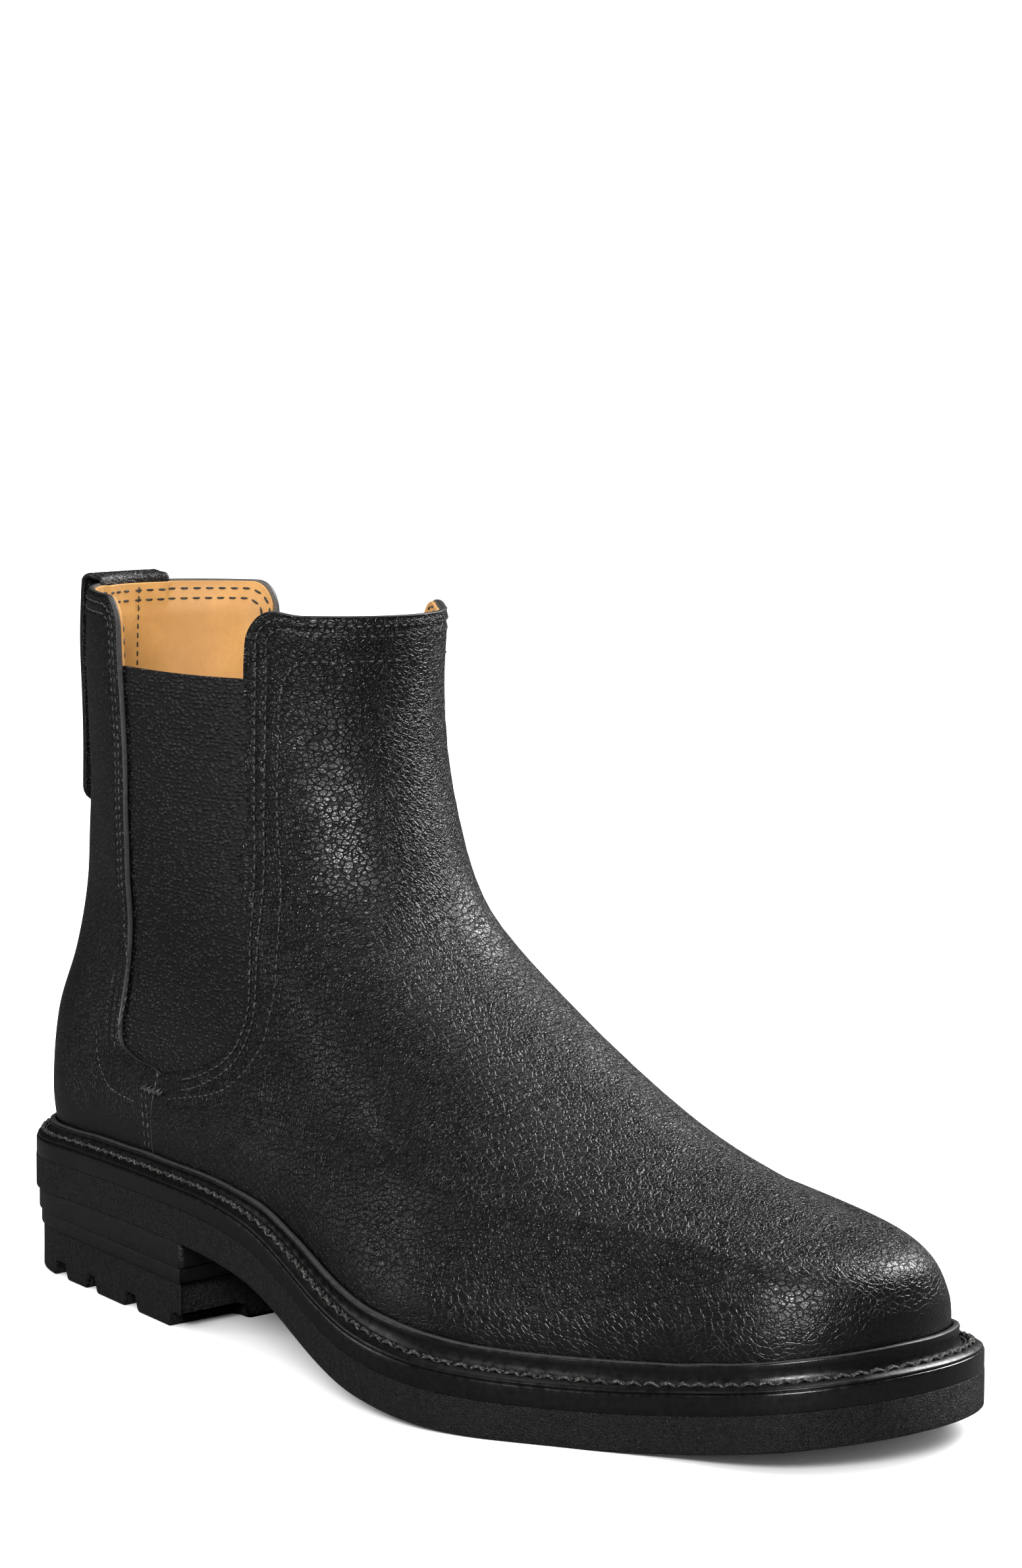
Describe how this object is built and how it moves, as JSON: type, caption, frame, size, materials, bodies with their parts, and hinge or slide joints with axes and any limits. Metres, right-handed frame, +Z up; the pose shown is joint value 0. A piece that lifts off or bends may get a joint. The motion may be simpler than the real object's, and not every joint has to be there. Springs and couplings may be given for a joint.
{
  "type": "chelsea boot",
  "caption": "Ankle-high leather slip-on boot with elastic side gores, a rear pull loop, a storm-welted rubber sole and a lugged stacked heel.",
  "frame": {"origin": "middle of the boot's box on the ground it stands on", "axes": "+Z up; the toe points towards -Y and the heel towards +Y; the outer (lateral) side faces -X"},
  "size_m": [0.121, 0.308, 0.1875],
  "materials": {
    "textured_rubber": "matte, fine vertical wrinkle texture",
    "smooth_rubber": "smooth satin",
    "edge_dressing": "smooth inked edge, semi-gloss",
    "welt_leather": "waxed, semi-gloss, matte cut edge on the rib",
    "waxed_thread": "braided waxed thread",
    "upper_thread": "fine bonded thread",
    "canvas_rib": "canvas",
    "cork": "granulated",
    "shank_steel": "rolled",
    "nail_steel": "plain",
    "insole_leather": "undyed, matte",
    "lining_leather": "smooth, low sheen",
    "grain_leather": "pebbled grain, satin, smoother near the sole",
    "strap_leather": "smooth, satin",
    "stiffener": "thermoplastic sheet",
    "stay_tape": "woven tape",
    "elastic": "coarse ribbed elastic weave"
  },
  "bodies": {
    "boot": {"heel_top_piece": "textured_rubber", "heel_lift_lower": "smooth_rubber", "heel_lift_upper": "smooth_rubber", "heel_nails": "nail_steel", "outsole": "textured_rubber", "midsole": "edge_dressing", "storm_welt": "welt_leather", "welt_thread": "waxed_thread", "insole_rib": "canvas_rib", "cork_filler": "cork", "shank": "shank_steel", "insole_board": "insole_leather", "foot_bed": "lining_leather", "vamp": "grain_leather", "front_lining": "lining_leather", "toe_puff": "stiffener", "front_topline_tape": "stay_tape", "front_panel_thread": "upper_thread", "rear_quarter_lower": "grain_leather", "rear_lining_lower": "lining_leather", "heel_counter": "stiffener", "lateral_gore": "elastic", "medial_gore": "elastic", "lateral_bar_tack": "upper_thread", "medial_bar_tack": "upper_thread"},
    "shaft_back": {"rear_quarter_upper": "grain_leather", "rear_lining_upper": "lining_leather", "rear_topline_tape": "stay_tape", "rear_panel_thread": "upper_thread", "strap_outer_leg": "strap_leather", "strap_inner_leg": "strap_leather"},
    "loop": {"pull_loop": "strap_leather"}
  },
  "joints": [
    {"name": "rear_shaft", "type": "hinge", "parent": "boot", "child": "shaft_back", "pos_m": [0.006, 0.1425, 0.098], "axis": [-1, 0, 0], "range_deg": [0, 8], "stiffness_Nm_per_rad": 1.2, "deforming": ["lateral_gore", "medial_gore"]},
    {"name": "pull_loop_tip", "type": "hinge", "parent": "shaft_back", "child": "loop", "pos_m": [0.006, 0.1359, 0.1836], "axis": [1, 0, 0], "range_deg": [-12, 12], "stiffness_Nm_per_rad": 0.02}
  ]
}
